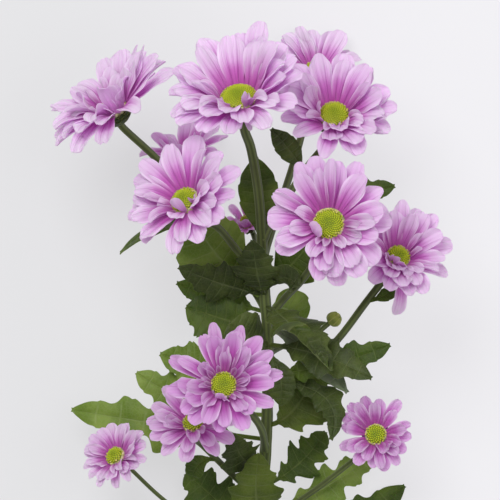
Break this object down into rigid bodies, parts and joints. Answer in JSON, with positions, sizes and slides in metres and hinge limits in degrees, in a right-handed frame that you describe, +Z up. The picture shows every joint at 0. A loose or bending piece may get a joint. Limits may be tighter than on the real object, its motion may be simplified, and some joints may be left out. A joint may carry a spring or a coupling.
{
  "type": "spray chrysanthemum stem",
  "caption": "Cut spray chrysanthemum laid on a table: a branching green stem with pink daisy-like blooms, lime discs, a bud and lobed leaves.",
  "frame": {"origin": "on the surface that the spray lies on, under the middle of its box", "axes": "+Z up from the surface, +Y along the stem from the cut end towards the blooms, +X to the right as the spray is looked down on"},
  "size_m": [0.1718, 0.2884, 0.1228],
  "materials": {
    "stem_green": "satin",
    "leaf_green": "matte",
    "ray_pink": "matte",
    "disc_lime": "matte",
    "bud_green": "matte"
  },
  "bodies": {
    "root": {"stem": "stem_green", "bud": "bud_green", "bloom_10_rays": "ray_pink", "bloom_10_disc": "disc_lime", "bloom_11_rays": "ray_pink", "bloom_11_disc": "disc_lime", "bloom_12_rays": "ray_pink", "bloom_12_disc": "disc_lime", "bloom_13_rays": "ray_pink", "bloom_13_disc": "disc_lime", "bloom_01_rays": "ray_pink", "bloom_01_disc": "disc_lime", "bloom_02_rays": "ray_pink", "bloom_02_disc": "disc_lime", "bloom_03_rays": "ray_pink", "bloom_03_disc": "disc_lime", "bloom_04_rays": "ray_pink", "bloom_04_disc": "disc_lime", "bloom_05_rays": "ray_pink", "bloom_05_disc": "disc_lime", "bloom_06_rays": "ray_pink", "bloom_06_disc": "disc_lime", "bloom_07_rays": "ray_pink", "bloom_07_disc": "disc_lime", "bloom_08_rays": "ray_pink", "bloom_08_disc": "disc_lime", "bloom_09_rays": "ray_pink", "bloom_09_disc": "disc_lime", "leaf_01": "leaf_green", "leaf_02": "leaf_green", "leaf_03": "leaf_green", "leaf_04": "leaf_green", "leaf_05": "leaf_green", "leaf_06": "leaf_green", "leaf_07": "leaf_green", "leaf_08": "leaf_green", "leaf_09": "leaf_green", "leaf_10": "leaf_green", "leaf_11": "leaf_green", "leaf_12": "leaf_green", "leaf_13": "leaf_green", "leaf_14": "leaf_green", "leaf_15": "leaf_green", "leaf_16": "leaf_green", "leaf_17": "leaf_green", "leaf_18": "leaf_green", "leaf_19": "leaf_green", "leaf_20": "leaf_green", "leaf_21": "leaf_green", "leaf_22": "leaf_green", "leaf_23": "leaf_green", "leaf_24": "leaf_green", "leaf_25": "leaf_green", "leaf_26": "leaf_green", "leaf_27": "leaf_green", "leaf_28": "leaf_green", "leaf_29": "leaf_green", "leaf_30": "leaf_green", "leaf_31": "leaf_green", "leaf_32": "leaf_green"}
  },
  "joints": []
}
